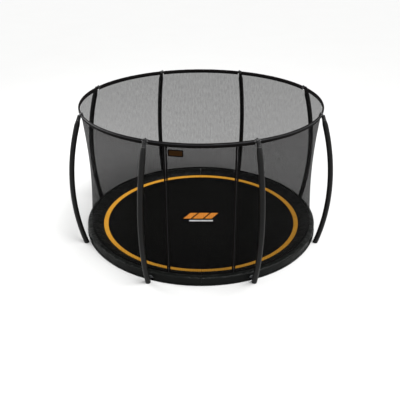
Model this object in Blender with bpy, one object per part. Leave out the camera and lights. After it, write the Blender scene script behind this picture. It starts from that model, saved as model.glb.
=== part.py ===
"""Round garden trampoline for a shallow pit, with bowed poles and a safety net.

Metres, +Z up. The legs stand on z = 0, the lawn round the pit is at LAWN_Z, and the Z axis runs
through the middle of the mat. Azimuths go round that axis: 0 is the front (-Y), where the net has
its door, and they grow towards +X.
"""

import math

import bmesh
import bpy
from mathutils import Vector

GAP = 0.0003  # left between pieces that touch

# Heights
LAWN_Z = 0.240
RAIL_Z = LAWN_Z + 0.045
MAT_TOP_Z = LAWN_Z + 0.040
PAD_TOP_Z = LAWN_Z + 0.127
HOOP_Z = LAWN_Z + 2.030

# Distances from the Z axis
RAIL_R = 1.790
MAT_R = 1.592
PAD_INNER_R = 1.520
BORDER_R = 1.592  # outer edge of the pad's flat orange border
PAD_OUTER_R = 1.838
POLE_FOOT_R = 1.905  # pole at lawn level
POLE_TOP_R = 1.811  # pole's line at the hoop's height, just outside the hoop
HOOP_R = 1.785
NET_R = 1.768

# Around the axis
FACET = math.radians(11.25)  # every round piece bends at multiples of this
POLE_COUNT = 8
POLE_STEP = 2 * math.pi / POLE_COUNT
FIRST_POLE = POLE_STEP / 2
QUARTER = math.pi / 2
QUARTER_NAMES = ("front_right", "back_right", "back_left", "front_left")
SIDE_NAMES = ("front", "right", "back", "left")

# Tubes
TUBE_SIDES = 10
APOTHEM = math.cos(math.pi / TUBE_SIDES)  # flat side's distance in a tube of radius 1
RAIL_TUBE_R = 0.021
RAIL_BORE_R = 0.0190
RAIL_JOINT = math.radians(3)  # a rail ends this far past the leg that it is welded to
STUB_R = 0.0170
STUB_BORE_R = 0.0152
STUB_LENGTH = 0.105
LEG_TUBE_R = 0.021
LEG_BORE_R = 0.0190
LEG_BEND_R = 0.075
POLE_TUBE_R = 0.0190
POLE_TUBE_BORE_R = 0.0172
POLE_BOW = 0.162  # how far the pole's arc stands out from its chord
POLE_TAIL = 0.150  # straight end of the pole, below the lawn
FOAM_R = 0.0385
FOAM_BORE_R = 0.0206
FOAM_STEPS = 8
FOAM_END = 0.963  # where the foam and the pole end, as shares of the arc up to the hoop
POLE_END = 0.984
HOOP_TUBE_R = 0.0125
HOOP_SIDES = 8

# Pole brackets
SOCKET_R = 0.0240
SOCKET_BORE_R = 0.0206
SOCKET_SPAN = (0.145, 0.008)  # below the lawn, along the pole
PLATE_SIZE = (0.064, 0.005)
PLATE_SPAN_Z = (LAWN_Z - 0.150, LAWN_Z + 0.012)
WEB_THICKNESS = 0.008

# Pole caps
COLLAR_R = 0.0285
COLLAR_LENGTH = 0.070
CAP_HEAD_R = 0.0270
CAP_HEAD_LENGTH = 0.056
CAP_EYE_R = 0.0165
CAP_BORE_R = 0.0206
CAP_BORE_DEPTH = 0.028  # from the top of the pole's line to the blind end of the cap's bore
NUB_R = 0.0120
NUB_TOP = 0.038

# Mat and springs
MAT_THICKNESS = 0.0026
MAT_BAND_THICKNESS = 0.0060
MAT_BAND_WIDTH = 0.055
MAT_SIDES = 64
SPRING_COUNT = 80
SPRING_SPAN_R = (1.600, 1.757)
SPRING_BAR = 0.0080
TIE_WIDTH = 0.0030

# Pad
BORDER_BOTTOM_Z = MAT_TOP_Z + 0.002
FOAM_BOTTOM_Z = RAIL_Z + RAIL_TUBE_R + 0.003
SKIRT_THICKNESS = 0.0030
SKIRT_BOTTOM_Z = LAWN_Z + 0.006
ARCH_WIDTH = 0.100
ARCH_TOP_Z = LAWN_Z + 0.078
ARCH_STEPS = 6

# Net
NET_BOTTOM_Z = PAD_TOP_Z + 0.003
NET_TOP_Z = HOOP_Z - 0.032
NET_SAG = 0.055
NET_THICKNESS = 0.0012
NET_ROWS = 6
ZIP_AZIMUTH = math.radians(14.5)
ZIP_BAND_WIDTH = 0.044
ZIP_BAND_THICKNESS = 0.0030

# Zip sliders: half width and depth from the band, and the heights of their ends about SLIDER_Z
SLIDER_Z = NET_BOTTOM_Z + 0.055
SLIDER_BODY = (0.0080, 0.0000, 0.0085)
SLIDER_BODY_ENDS = (-0.012, 0.020)
SLIDER_TAB = (0.0045, 0.0030, 0.0055)
SLIDER_TAB_END = -0.045


def polar(radius, azimuth, z):
    return Vector((radius * math.sin(azimuth), -radius * math.cos(azimuth), z))


def clear_scene():
    for old in list(bpy.data.objects):
        bpy.data.objects.remove(old)


def skin(name, color, roughness, metallic=0.0):
    """A material of one colour, given as linear red, green and blue."""
    made = bpy.data.materials.new(name)
    made.use_nodes = True
    shader = made.node_tree.nodes["Principled BSDF"]
    shader.inputs["Base Color"].default_value = (*color, 1.0)
    shader.inputs["Roughness"].default_value = roughness
    shader.inputs["Metallic"].default_value = metallic
    return made


def loft(loops, cyclic=False, sheet=False):
    """A closed mesh over a row of equal loops, capped at its ends unless the row is cyclic.

    A sheet's loops go up its outer face and down its inner one. Both faces are cut into the same
    triangles, so that they stay apart where the sheet twists.
    """
    bm = bmesh.new()
    rows = [[bm.verts.new(point) for point in loop] for loop in loops]
    if not cyclic:
        bm.faces.new(rows[0])
        bm.faces.new(rows[-1])
    pairs = list(zip(rows, rows[1:]))
    if cyclic:
        pairs.append((rows[-1], rows[0]))
    for first, second in pairs:
        quads = zip(first, first[1:] + first[:1], second[1:] + second[:1], second)
        for number, (a, b, c, d) in enumerate(quads):
            if not sheet:
                bm.faces.new((a, b, c, d))
            elif number < len(first) / 2:
                bm.faces.new((a, b, c))
                bm.faces.new((a, c, d))
            else:
                bm.faces.new((a, b, d))
                bm.faces.new((b, c, d))
    bmesh.ops.recalc_face_normals(bm, faces=bm.faces)
    mesh = bpy.data.meshes.new("loft")
    bm.to_mesh(mesh)
    bm.free()
    return mesh


def rings(path, side, radius, sides=TUBE_SIDES, cyclic=False):
    """Mitred rings of a tube along a flat path, whose plane has the unit normal side."""
    before = path[-1] if cyclic else 2 * path[0] - path[1]
    after = path[0] if cyclic else 2 * path[-1] - path[-2]
    line = [before, *path, after]
    made = []
    for last, here, following in zip(line, line[1:], line[2:]):
        arriving = (here - last).normalized()
        tangent = (arriving + (following - here).normalized()).normalized()
        across = side.cross(tangent) / tangent.dot(arriving)
        turns = [2 * math.pi * step / sides for step in range(sides)]
        made.append([here + radius * (math.cos(a) * side + math.sin(a) * across) for a in turns])
    return made


def rod(path, side, radius, sides=TUBE_SIDES):
    return loft(rings(path, side, radius, sides))


def tube(path, side, radius, bore):
    """A hollow tube: up along its outside, over the rim and back along its bore."""
    outside = rings(path, side, radius)
    inside = rings(path, side, bore)
    return loft(outside + inside[::-1], cyclic=True)


def sector_angles(start, end):
    """The angles from start to end, with every facet's angle between them."""
    first = math.floor(start / FACET + 1e-6) + 1
    last = math.ceil(end / FACET - 1e-6) - 1
    return [start, *(step * FACET for step in range(first, last + 1)), end]


def carve(mesh, steps):
    """The mesh after a row of Boolean steps, each an operation and the mesh that it takes."""
    work = bpy.data.objects.new("work", mesh)
    bpy.context.collection.objects.link(work)
    helpers = [work]
    for operation, tool_mesh in steps:
        tool = bpy.data.objects.new("tool", tool_mesh)
        bpy.context.collection.objects.link(tool)
        helpers.append(tool)
        boolean = work.modifiers.new(operation, "BOOLEAN")
        boolean.operation = operation
        boolean.solver = "EXACT"
        boolean.object = tool
    graph = bpy.context.evaluated_depsgraph_get()
    carved = bpy.data.meshes.new_from_object(work.evaluated_get(graph))
    for helper in helpers:
        bpy.data.objects.remove(helper)
    return carved


def place(name, mesh, finish, azimuth=0.0):
    """Adds a named piece, turned round the Z axis from the front to its azimuth."""
    if not mesh.materials:
        mesh.materials.append(finish)
        mesh.shade_smooth()
        mesh.set_sharp_from_angle(angle=math.radians(40))
    piece = bpy.data.objects.new(name, mesh)
    piece.rotation_euler.z = azimuth
    bpy.context.collection.objects.link(piece)
    return piece


def place_at_poles(name, mesh, finish):
    for number in range(POLE_COUNT):
        place(f"{name}_{number + 1}", mesh, finish, FIRST_POLE + number * POLE_STEP)


# Frame


def rail_path(start, end):
    """Points along the rail's facets, so that the two rails at a joint lie in one line."""
    path = []
    for angle in sector_angles(start, end):
        from_middle = angle % FACET - FACET / 2
        path.append(polar(RAIL_R * math.cos(FACET / 2) / math.cos(from_middle), angle, RAIL_Z))
    return path


def frame_rail():
    """One eighth of the top rail, with the stub for a leg welded under it near its end."""
    start = RAIL_JOINT - POLE_STEP
    end = RAIL_JOINT - GAP / RAIL_R
    overrun = RAIL_JOINT / 10
    up = Vector((0, 0, 1))
    outside = rail_path(start, end)
    inside = rail_path(start - overrun, end + overrun)
    stub = [polar(RAIL_R, 0, RAIL_Z - STUB_LENGTH), polar(RAIL_R, 0, RAIL_Z)]
    stub_bore = [stub[0] - 0.01 * up, stub[1]]
    sideways = Vector((1, 0, 0))
    return carve(
        rod(outside, up, RAIL_TUBE_R),
        [
            ("UNION", rod(stub, sideways, STUB_R)),
            ("DIFFERENCE", rod(inside, up, RAIL_BORE_R)),
            ("DIFFERENCE", rod(stub_bore, sideways, STUB_BORE_R)),
        ],
    )


def leg():
    """A U of tube: two uprights over the stubs of neighbouring rails, and a foot bar between."""
    half_width = RAIL_R * math.sin(FIRST_POLE)
    distance = RAIL_R * math.cos(FIRST_POLE)
    foot_z = LEG_TUBE_R * APOTHEM
    top_z = RAIL_Z - RAIL_TUBE_R - 0.002
    right = [Vector((half_width, 0, top_z))]
    for turn in (0, 30, 60, 90):
        inwards = LEG_BEND_R * (1 - math.cos(math.radians(turn)))
        upwards = LEG_BEND_R * (1 - math.sin(math.radians(turn)))
        right.append(Vector((half_width - inwards, 0, foot_z + upwards)))
    left = [Vector((-point.x, 0, point.z)) for point in reversed(right)]
    path = [point + Vector((0, -distance, 0)) for point in right + left]
    return tube(path, Vector((0, 1, 0)), LEG_TUBE_R, LEG_BORE_R)


# Poles


def pole_arc(share):
    """Point and upward direction on the pole's arc: share 0 at the lawn and 1 beside the hoop."""
    foot = Vector((POLE_FOOT_R, LAWN_Z))
    top = Vector((POLE_TOP_R, HOOP_Z))
    half_chord = (top - foot).length / 2
    bend_radius = (half_chord**2 + POLE_BOW**2) / (2 * POLE_BOW)
    outwards = Vector((top.y - foot.y, foot.x - top.x)).normalized()
    centre = (foot + top) / 2 - (bend_radius - POLE_BOW) * outwards
    turn = (2 * share - 1) * math.asin(half_chord / bend_radius)
    middle = math.atan2(outwards.y, outwards.x)
    ray = Vector((math.cos(middle + turn), math.sin(middle + turn)))
    point = centre + bend_radius * ray
    return polar(point.x, 0, point.y), Vector((0, ray.y, ray.x))


def pole_line(distance, share=0.0):
    """A point on the straight line that touches the pole's arc at share."""
    point, upwards = pole_arc(share)
    return point + distance * upwards


def foam_path():
    return [pole_arc(FOAM_END * step / FOAM_STEPS)[0] for step in range(FOAM_STEPS + 1)]


def pole():
    path = [pole_line(-POLE_TAIL), *foam_path(), pole_arc(POLE_END)[0]]
    return tube(path, Vector((1, 0, 0)), POLE_TUBE_R, POLE_TUBE_BORE_R)


def foam_sleeve():
    return tube(foam_path(), Vector((1, 0, 0)), FOAM_R, FOAM_BORE_R)


def box(low, high):
    corners = [(low[0], low[1]), (high[0], low[1]), (high[0], high[1]), (low[0], high[1])]
    return loft([[Vector((x, y, z)) for x, y in corners] for z in (low[2], high[2])])


def pole_bracket():
    """A socket for the pole's tail, on a web that stands out from a plate on the leg."""
    plate_y = -(RAIL_R + LEG_TUBE_R + GAP)
    width, thickness = PLATE_SIZE
    plate = box(
        (-width / 2, plate_y - thickness, PLATE_SPAN_Z[0]),
        (width / 2, plate_y, PLATE_SPAN_Z[1]),
    )
    low, high = (pole_line(-distance) for distance in SOCKET_SPAN)
    inset = thickness / 2
    outline = [
        Vector((0, plate_y - inset, PLATE_SPAN_Z[0] + inset)),
        Vector((0, low.y, low.z + inset)),
        Vector((0, high.y, high.z - inset)),
        Vector((0, plate_y - inset, PLATE_SPAN_Z[1] - inset)),
    ]
    web_sides = (-WEB_THICKNESS / 2, WEB_THICKNESS / 2)
    web = loft([[point + Vector((x, 0, 0)) for point in outline] for x in web_sides])
    sideways = Vector((1, 0, 0))
    bore = [pole_line(-SOCKET_SPAN[0] - 0.02), pole_line(0.02)]
    return carve(
        plate,
        [
            ("UNION", web),
            ("UNION", rod([low, high], sideways, SOCKET_R)),
            ("DIFFERENCE", rod(bore, sideways, SOCKET_BORE_R)),
        ],
    )


def pole_cap():
    """A moulded cap over the pole's end, with an eye for the hoop and a rounded nub on top."""
    sideways = Vector((1, 0, 0))
    hoop = polar(HOOP_R, 0, HOOP_Z)
    half_head = Vector((CAP_HEAD_LENGTH / 2, 0, 0))
    collar = [pole_line(-COLLAR_LENGTH, 1), pole_line(0, 1)]
    bore = [pole_line(-COLLAR_LENGTH - 0.02, 1), pole_line(-CAP_BORE_DEPTH, 1)]
    nub = [hoop, hoop + NUB_TOP * pole_arc(1)[1]]
    up = Vector((0, 0, 1))
    return carve(
        rod(collar, sideways, COLLAR_R),
        [
            ("UNION", rod([hoop - half_head, hoop + half_head], up, CAP_HEAD_R)),
            ("UNION", rod(nub, sideways, NUB_R)),
            ("DIFFERENCE", rod([hoop - 2 * half_head, hoop + 2 * half_head], up, CAP_EYE_R)),
            ("DIFFERENCE", rod(bore, sideways, CAP_BORE_R)),
        ],
    )


def top_hoop():
    """The closed hoop that holds the net's top edge up."""
    steps = round(2 * math.pi / FACET)
    path = [polar(HOOP_R, step * FACET, HOOP_Z) for step in range(steps)]
    return loft(rings(path, Vector((0, 0, 1)), HOOP_TUBE_R, HOOP_SIDES, cyclic=True), cyclic=True)


# Mat, springs and pad


def jumping_mat():
    """A disc of woven fabric with a thicker band of webbing sewn under its edge."""
    fabric_z = MAT_TOP_Z - MAT_THICKNESS
    band_z = MAT_TOP_Z - MAT_BAND_THICKNESS
    band_r = MAT_R - MAT_BAND_WIDTH
    profile = [(MAT_R, MAT_TOP_Z), (MAT_R, band_z), (band_r, band_z), (band_r, fabric_z)]
    angles = [2 * math.pi * step / MAT_SIDES for step in range(MAT_SIDES)]
    return loft([[polar(radius, angle, z) for angle in angles] for radius, z in profile])


def spring_set():
    """A bar where each coil spring lies, on a thin ring that makes them one solid."""
    pitch = 2 * math.pi / SPRING_COUNT
    inner_r, outer_r = SPRING_SPAN_R
    tie_low = (inner_r + outer_r - TIE_WIDTH) / 2
    tie_high = tie_low + TIE_WIDTH
    top = MAT_TOP_Z - MAT_THICKNESS / 2 + SPRING_BAR / 2
    half = SPRING_BAR / 2
    bm = bmesh.new()

    def edge_points(angle, side):
        along = polar(1, angle, 0)
        across = Vector((-along.y, along.x, 0))
        start = side * half * across + Vector((0, 0, top))
        return [bm.verts.new(start + radius * along) for radius in (inner_r, tie_low, tie_high, outer_r)]

    bars = []
    for number in range(SPRING_COUNT):
        angle = (number + 0.5) * pitch
        bars.append([edge_points(angle, side) for side in (-1, 1)])
    for (first, second), (following, _) in zip(bars, bars[1:] + bars[:1]):
        for step in range(3):
            bm.faces.new((first[step], second[step], second[step + 1], first[step + 1]))
        bm.faces.new((second[1], following[1], following[2], second[2]))
    made = bmesh.ops.extrude_face_region(bm, geom=list(bm.faces), use_keep_orig=True)
    lower = [item for item in made["geom"] if isinstance(item, bmesh.types.BMVert)]
    bmesh.ops.translate(bm, verts=lower, vec=(0, 0, -SPRING_BAR))
    bmesh.ops.recalc_face_normals(bm, faces=bm.faces)
    mesh = bpy.data.meshes.new("springs")
    bm.to_mesh(mesh)
    bm.free()
    return mesh


def pad_profile():
    """The pad's section: a flat border inside, the crowned foam, and the skirt down to the lawn."""
    skirt_r = PAD_OUTER_R - SKIRT_THICKNESS
    top = [
        (PAD_INNER_R, BORDER_BOTTOM_Z),
        (PAD_INNER_R, BORDER_BOTTOM_Z + 0.008),
        (BORDER_R, BORDER_BOTTOM_Z + 0.014),
        (BORDER_R + 0.040, PAD_TOP_Z - 0.038),
        (BORDER_R + 0.100, PAD_TOP_Z - 0.012),
        (RAIL_R - 0.040, PAD_TOP_Z),
        (RAIL_R + 0.010, PAD_TOP_Z),
        (PAD_OUTER_R - 0.012, PAD_TOP_Z - 0.008),
        (PAD_OUTER_R, PAD_TOP_Z - 0.024),
    ]
    skirt = [
        (PAD_OUTER_R, SKIRT_BOTTOM_Z),
        (skirt_r, SKIRT_BOTTOM_Z),
        (skirt_r, FOAM_BOTTOM_Z + 0.005),
    ]
    underside = [
        (RAIL_R + 0.010, FOAM_BOTTOM_Z),
        (RAIL_R - 0.040, FOAM_BOTTOM_Z),
        (BORDER_R + 0.020, BORDER_BOTTOM_Z + 0.003),
    ]
    return top + skirt + underside


def arch_cutter(azimuth):
    """The arched gap in the skirt that a pole's bracket reaches through."""
    half = ARCH_WIDTH / 2
    spring_z = ARCH_TOP_Z - half
    turns = [math.pi * step / ARCH_STEPS for step in range(ARCH_STEPS + 1)]
    arch = [(half * math.cos(turn), spring_z + half * math.sin(turn)) for turn in turns]
    outline = [*arch, (-half, LAWN_Z - 0.05), (half, LAWN_Z - 0.05)]
    out = polar(1, azimuth, 0)
    along = Vector((-out.y, out.x, 0))
    radii = (PAD_OUTER_R - 0.020, PAD_OUTER_R + 0.020)
    return loft([[radius * out + x * along + Vector((0, 0, z)) for x, z in outline] for radius in radii])


def safety_pad():
    """A quarter of the pad over the springs."""
    seam = GAP / PAD_INNER_R / 2
    angles = sector_angles(seam, QUARTER - seam)
    body = loft([[polar(radius, angle, z) for radius, z in pad_profile()] for angle in angles])
    arches = [arch_cutter(FIRST_POLE), arch_cutter(FIRST_POLE + POLE_STEP)]
    return carve(body, [("DIFFERENCE", arch) for arch in arches])


# Net


def net_radius(azimuth, share):
    """The net hangs straight at the door's zips and is drawn in between hoop and pad elsewhere."""
    from_front = min(azimuth % (2 * math.pi), -azimuth % (2 * math.pi))
    reach = (from_front - ZIP_AZIMUTH) / (POLE_STEP - ZIP_AZIMUTH)
    reach = min(max(reach, 0.0), 1.0)
    drawn_in = reach * reach * (3 - 2 * reach)
    return NET_R - NET_SAG * drawn_in * math.sin(math.pi * share)


def net_panel(start, end, thickness=NET_THICKNESS):
    """A thin sheet from azimuth start to end, from the pad up to the hoop."""
    loops = []
    for azimuth in sector_angles(start, end):
        faces = []
        for side in (1, -1):
            column = []
            for row in range(NET_ROWS + 1):
                share = row / NET_ROWS
                height = NET_BOTTOM_Z + share * (NET_TOP_Z - NET_BOTTOM_Z)
                column.append(polar(net_radius(azimuth, share) + side * thickness / 2, azimuth, height))
            faces.append(column)
        outer, inner = faces
        loops.append(outer + inner[::-1])
    return loft(loops, sheet=True)


def zip_slider():
    """A zip's slider with its pull tab hanging below it, at the front of the band at azimuth 0."""
    face = NET_R + ZIP_BAND_THICKNESS / 2 + GAP
    body_bottom, body_top = SLIDER_BODY_ENDS
    levels = [
        (SLIDER_TAB_END, SLIDER_TAB),
        (body_bottom, SLIDER_TAB),
        (body_bottom, SLIDER_BODY),
        (body_top, SLIDER_BODY),
    ]
    loops = []
    for height, (half, near, far) in levels:
        corners = [(-half, face + near), (half, face + near), (half, face + far), (-half, face + far)]
        loops.append([Vector((x, -y, SLIDER_Z + height)) for x, y in corners])
    return loft(loops)


# Assembly


def build_frame():
    galvanised = skin("galvanised steel", (0.42, 0.43, 0.44), 0.38, 1.0)
    place_at_poles("frame_rail", frame_rail(), galvanised)
    mesh = leg()
    for number, side in enumerate(SIDE_NAMES):
        place(f"leg_{side}", mesh, galvanised, number * QUARTER)


def build_poles():
    black_steel = skin("black powder coat", (0.020, 0.020, 0.022), 0.42)
    foam_cover = skin("black foam sleeve", (0.014, 0.015, 0.016), 0.62)
    black_plastic = skin("black moulded plastic", (0.016, 0.016, 0.017), 0.40)
    place_at_poles("pole", pole(), black_steel)
    place_at_poles("pole_bracket", pole_bracket(), black_steel)
    place_at_poles("foam_sleeve", foam_sleeve(), foam_cover)
    place_at_poles("pole_cap", pole_cap(), black_plastic)
    place("top_hoop", top_hoop(), black_steel)


def build_jumping_bed():
    place("jumping_mat", jumping_mat(), skin("black mat fabric", (0.010, 0.010, 0.009), 0.75))
    place("spring_set", spring_set(), skin("zinc spring wire", (0.55, 0.56, 0.58), 0.30, 1.0))
    vinyl = skin("dark vinyl", (0.016, 0.018, 0.020), 0.50)
    mesh = safety_pad()
    for number, quarter in enumerate(QUARTER_NAMES):
        place(f"pad_{quarter}", mesh, vinyl, number * QUARTER)


def build_net():
    netting = skin("black netting", (0.020, 0.020, 0.020), 0.80)
    webbing = skin("black webbing", (0.018, 0.018, 0.018), 0.80)
    seam = GAP / NET_R / 2
    half_band = ZIP_BAND_WIDTH / NET_R / 2
    door_half = ZIP_AZIMUTH + half_band
    corners = [door_half, QUARTER, 2 * QUARTER, 3 * QUARTER, 4 * QUARTER - door_half]
    for quarter, start, end in zip(QUARTER_NAMES, corners, corners[1:]):
        place(f"net_{quarter}", net_panel(start + seam, end - seam), netting)
    door_edge = ZIP_AZIMUTH - half_band - seam
    place("net_door", net_panel(-door_edge, door_edge), netting)
    slider_skin = skin("zip metal", (0.30, 0.30, 0.31), 0.35, 1.0)
    for side, azimuth in (("right", ZIP_AZIMUTH), ("left", -ZIP_AZIMUTH)):
        edges = (azimuth - half_band + seam, azimuth + half_band - seam)
        place(f"zip_band_{side}", net_panel(*edges, ZIP_BAND_THICKNESS), webbing)
        place(f"zip_slider_{side}", zip_slider(), slider_skin, azimuth)


clear_scene()
build_frame()
build_poles()
build_jumping_bed()
build_net()
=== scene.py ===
"""The garden trampoline's looks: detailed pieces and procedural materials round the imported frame.

Metres, +Z up. Azimuths go round the Z axis: 0 is the front (-Y), where the net has its door, and
they grow towards +X. The pale floor is the lawn's level, with the pit that the frame stands in.
"""

import math

import bmesh
import bpy
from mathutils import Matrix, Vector, noise


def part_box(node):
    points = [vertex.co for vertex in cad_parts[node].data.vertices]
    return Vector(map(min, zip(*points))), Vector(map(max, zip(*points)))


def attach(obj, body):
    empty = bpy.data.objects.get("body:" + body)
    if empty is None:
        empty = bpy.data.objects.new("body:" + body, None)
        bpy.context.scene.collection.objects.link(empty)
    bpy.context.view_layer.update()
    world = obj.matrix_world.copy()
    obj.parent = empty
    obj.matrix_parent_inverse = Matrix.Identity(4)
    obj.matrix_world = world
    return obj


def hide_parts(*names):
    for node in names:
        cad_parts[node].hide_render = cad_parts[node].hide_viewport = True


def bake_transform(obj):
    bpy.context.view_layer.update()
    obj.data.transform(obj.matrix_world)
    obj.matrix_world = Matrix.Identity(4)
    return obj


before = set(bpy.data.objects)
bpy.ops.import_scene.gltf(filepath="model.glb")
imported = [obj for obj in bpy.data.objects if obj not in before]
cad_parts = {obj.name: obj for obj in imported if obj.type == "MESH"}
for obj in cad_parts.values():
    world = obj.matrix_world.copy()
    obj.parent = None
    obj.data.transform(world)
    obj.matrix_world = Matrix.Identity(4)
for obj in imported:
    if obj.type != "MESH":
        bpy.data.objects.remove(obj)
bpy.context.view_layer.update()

TURN = 2 * math.pi
UP = Vector((0, 0, 1))

# Read from the frame
MAT_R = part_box("jumping_mat")[1].x
MAT_TOP_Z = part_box("jumping_mat")[1].z
PAD_LOW, PAD_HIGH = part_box("pad_front_right")
PAD_OUTER_R = PAD_HIGH.x
PAD_TOP_Z = PAD_HIGH.z
SKIRT_BOTTOM_Z = PAD_LOW.z
LAWN_Z = SKIRT_BOTTOM_Z - 0.006
HOOP_LOW, HOOP_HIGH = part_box("top_hoop")
HOOP_Z = (HOOP_LOW.z + HOOP_HIGH.z) / 2
HOOP_TUBE_R = (HOOP_HIGH.z - HOOP_LOW.z) / 2
HOOP_R = HOOP_HIGH.x - HOOP_TUBE_R
NET_BOTTOM_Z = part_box("net_door")[0].z
NET_TOP_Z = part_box("net_door")[1].z

# The design's own dimensions, as the CAD has them
POLE_COUNT = 8
POLE_STEP = TURN / POLE_COUNT
FIRST_POLE = POLE_STEP / 2
QUARTER = math.pi / 2
QUARTER_NAMES = ("front_right", "back_right", "back_left", "front_left")
SIDE_NAMES = ("front", "right", "back", "left")
RAIL_R = 1.790
RAIL_Z = LAWN_Z + 0.045
RAIL_TUBE_R = 0.021
TUBE_SIDES = 10
LEG_BEND_R = 0.075
POLE_FOOT_R = 1.905
POLE_TOP_R = 1.811
POLE_BOW = 0.162
POLE_TAIL = 0.150
POLE_TUBE_R = 0.0190
POLE_END = 0.984
FOAM_R = 0.0385
FOAM_BORE_R = 0.0206
FOAM_END = 0.963
PAD_INNER_R = 1.520
BORDER_R = 1.592
NET_R = 1.768
NET_SAG = 0.055
ZIP_AZIMUTH = math.radians(14.5)
ZIP_BAND_WIDTH = 0.044
SLIDER_Z = NET_BOTTOM_Z + 0.055
SPRING_COUNT = 80
PAD_BASE_Z = MAT_TOP_Z + 0.002
ARCH_WIDTH = 0.100
ARCH_TOP_Z = LAWN_Z + 0.078
COLLAR_LENGTH = 0.070

# What only the looks have
PAD_SEAM_HALF_GAP = 0.0014  # between two pads' covers, measured at the inner edge
CROWN_COLUMNS = 150  # of a pad's simulated cover, along its length
CROWN_SPARE = 0.030  # how much larger the cover is cut than the foam, as a share
CROWN_FRAMES = 24
CREASE_LIMIT = 0.0060
MARK_Y = 0.030  # the plain mark printed in the mat's middle, and the rule under it
MARK_HALF_HEIGHT = 0.095
MARK_BARS = ((-0.175, 0.060), (0.0, 0.085), (0.175, 0.060))
RULE_Y = -0.135
RULE_HALF_HEIGHT = 0.022
RULE_HALF_WIDTH = 0.195
FERRULE_HALF = 0.045  # of the steel ferrule that joins two lengths of hoop inside each cap
CASING_GAP = 0.033  # from a pole's middle to the end of the casing beside it


# Small sums


def polar(radius, azimuth, z=0.0):
    return Vector((radius * math.sin(azimuth), -radius * math.cos(azimuth), z))


def spread(start, end, count):
    """count + 1 evenly spaced values from start to end."""
    return [start + (end - start) * step / count for step in range(count + 1)]


def ease(share):
    """0 below 0, 1 above 1 and a smooth step between."""
    share = min(max(share, 0.0), 1.0)
    return share * share * (3 - 2 * share)


def ripple(*place):
    """Smooth noise between -1 and 1."""
    return noise.noise(Vector(place))


# Meshes


class Shape:
    """Grids of points gathered into one mesh, with a UV map in metres."""

    def __init__(self):
        self.bm = bmesh.new()
        self.uv = self.bm.loops.layers.uv.new("metres")

    def grid(self, rows, around=False, along=False, caps=False, finish=0, flat=False):
        """Faces between rows. around closes each row, along joins the last row to the first, caps fills
        the first and last rows, and flat takes the UVs from X and Y."""
        made = [[self.bm.verts.new(point) for point in row] for row in rows]
        u = self.distances([row[0] for row in rows], along)
        v = self.distances(rows[len(rows) // 2], around)
        row_count = len(rows) if along else len(rows) - 1
        column_count = len(rows[0]) if around else len(rows[0]) - 1
        for i in range(row_count):
            following = made[(i + 1) % len(rows)]
            for j in range(column_count):
                k = (j + 1) % len(rows[0])
                face = self.bm.faces.new((made[i][j], made[i][k], following[k], following[j]))
                face.material_index = finish
                face.smooth = True
                corners = ((u[i], v[j]), (u[i], v[j + 1]), (u[i + 1], v[j + 1]), (u[i + 1], v[j]))
                for loop, corner in zip(face.loops, corners):
                    loop[self.uv].uv = loop.vert.co.xy if flat else corner
        if caps:
            for row in (made[0], made[-1]):
                face = self.bm.faces.new(row)
                face.material_index = finish
        return made

    @staticmethod
    def distances(points, closed):
        total = [0.0]
        for here, following in zip(points, [*points[1:], *points[:1]] if closed else points[1:]):
            total.append(total[-1] + (following - here).length)
        return total

    def tube(self, path, side, radius, sides, finish=0, along=False):
        """A tube round a flat path, whose plane has the normal side. along joins its ends."""
        rows = []
        before = path[-1] if along else 2 * path[0] - path[1]
        after = path[0] if along else 2 * path[-1] - path[-2]
        line = [before, *path, after]
        turns = [TURN * step / sides for step in range(sides)]
        for last, here, following in zip(line, line[1:], line[2:]):
            across = side.cross(following - last).normalized()
            rows.append([here + radius * (math.cos(a) * side + math.sin(a) * across) for a in turns])
        self.grid(rows, around=True, along=along, caps=not along, finish=finish)

    def wire(self, path, radius, sides=5, closed=False):
        """A round wire along any path, whose rings turn with it."""
        rows = []
        across = None
        turns = [TURN * step / sides for step in range(sides)]
        for number, here in enumerate(path):
            last = path[number - 1] if closed or number else here
            following = path[(number + 1) % len(path)] if closed or number + 1 < len(path) else here
            ahead = (following - last).normalized()
            if across is None:
                across = ahead.orthogonal().normalized()
            across = (across - across.dot(ahead) * ahead).normalized()
            other = ahead.cross(across)
            rows.append([here + radius * (math.cos(a) * across + math.sin(a) * other) for a in turns])
        self.grid(rows, around=True, along=closed, caps=not closed)

    def turned(self, base, axis, profile, sides, finish=0):
        """A solid turned on the line from base along axis. profile lists (distance along it, radius)."""
        side = axis.orthogonal().normalized()
        across = axis.cross(side).normalized()
        rows = []
        turns = [TURN * step / sides for step in range(sides)]
        for distance, radius in profile:
            centre = base + distance * axis
            rows.append([centre + radius * (math.cos(a) * side + math.sin(a) * across) for a in turns])
        self.grid(rows, around=True, caps=True, finish=finish)

    def block(self, centre, size, across, out, finish=0):
        """A box round centre, size long along across, out and up in turn."""
        half = [length / 2 for length in size]
        rows = []
        for height in (-half[2], half[2]):
            corners = ((-1, -1), (1, -1), (1, 1), (-1, 1))
            rows.append([centre + height * UP + x * half[0] * across + y * half[1] * out for x, y in corners])
        self.grid(rows, around=True, caps=True, finish=finish)

    def object(self, name, *materials):
        bmesh.ops.recalc_face_normals(self.bm, faces=self.bm.faces)
        mesh = bpy.data.meshes.new(name)
        self.bm.to_mesh(mesh)
        self.bm.free()
        for material in materials:
            mesh.materials.append(material)
        mesh.shade_smooth()
        mesh.set_sharp_from_angle(angle=math.radians(40))
        made = bpy.data.objects.new(name, mesh)
        bpy.context.scene.collection.objects.link(made)
        return made


def fit(piece, body, slot, *nodes):
    """Joins a piece to its body and hides the CAD nodes that it stands for."""
    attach(piece, body)
    if nodes:
        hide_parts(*nodes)
    return piece


# Materials


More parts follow.
